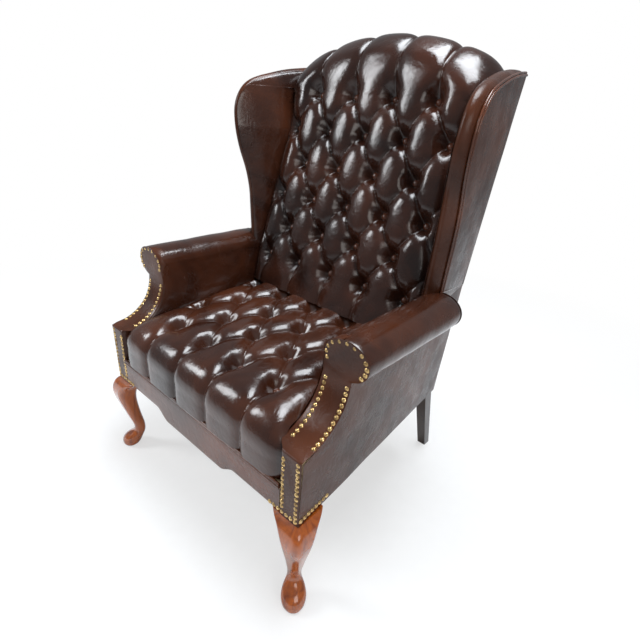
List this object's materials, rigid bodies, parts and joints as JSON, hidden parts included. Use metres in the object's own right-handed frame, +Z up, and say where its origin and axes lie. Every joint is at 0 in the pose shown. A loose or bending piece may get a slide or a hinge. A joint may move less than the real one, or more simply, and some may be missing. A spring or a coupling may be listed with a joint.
{
  "type": "wingback chair",
  "caption": "High-backed wing armchair in deep-buttoned brown leather, with rolled arms, nail trim and short carved-shape wooden legs.",
  "frame": {"origin": "on the floor, under the centre of the chair's bounding box", "axes": "+Z up; the chair faces -Y; +X to the sitter's left"},
  "size_m": [0.772, 0.7153, 1.1199],
  "materials": {
    "brass": "satin",
    "dust_cloth": "matte",
    "frame_wood": "matte",
    "front_leg_wood": "gloss",
    "hessian": "matte",
    "leather": "semi-gloss",
    "rear_leg_wood": "satin",
    "spring_steel": "satin",
    "steel": "satin",
    "stuffing": "matte",
    "webbing": "matte",
    "welt_leather": "semi-gloss"
  },
  "bodies": {
    "root": {"back_buttons": "leather", "back_hessian": "hessian", "back_pad": "stuffing", "back_webbing": "webbing", "corner_block_screws": "steel", "corner_blocks": "frame_wood", "crest_rail": "frame_wood", "dust_cover": "dust_cloth", "frame_dowels": "frame_wood", "front_rail_cover": "leather", "front_seat_rail": "frame_wood", "inside_back_cover": "leather", "left_arm_front_panel": "leather", "left_arm_nails": "brass", "left_arm_pad": "stuffing", "left_arm_post": "frame_wood", "left_arm_rail": "frame_wood", "left_arm_tack_rail": "frame_wood", "left_back_post": "rear_leg_wood", "left_front_leg": "front_leg_wood", "left_inside_arm_cover": "leather", "left_inside_wing_cover": "leather", "left_outside_arm_cover": "leather", "left_outside_wing_cover": "leather", "left_side_seat_rail": "frame_wood", "left_wing_border": "leather", "left_wing_frame": "frame_wood", "left_wing_pad": "stuffing", "left_wing_welt": "welt_leather", "leg_bolts": "steel", "lower_back_rail": "frame_wood", "outside_back_cover": "leather", "rear_seat_rail": "frame_wood", "right_arm_front_panel": "leather", "right_arm_nails": "brass", "right_arm_pad": "stuffing", "right_arm_post": "frame_wood", "right_arm_rail": "frame_wood", "right_arm_tack_rail": "frame_wood", "right_back_post": "rear_leg_wood", "right_front_leg": "front_leg_wood", "right_inside_arm_cover": "leather", "right_inside_wing_cover": "leather", "right_outside_arm_cover": "leather", "right_outside_wing_cover": "leather", "right_side_seat_rail": "frame_wood", "right_wing_border": "leather", "right_wing_frame": "frame_wood", "right_wing_pad": "stuffing", "right_wing_welt": "welt_leather", "seat_buttons": "leather", "seat_cover": "leather", "seat_front_welt": "welt_leather", "seat_hessian": "hessian", "seat_pad": "stuffing", "seat_spring_clips": "steel", "seat_springs": "spring_steel"}
  },
  "joints": []
}
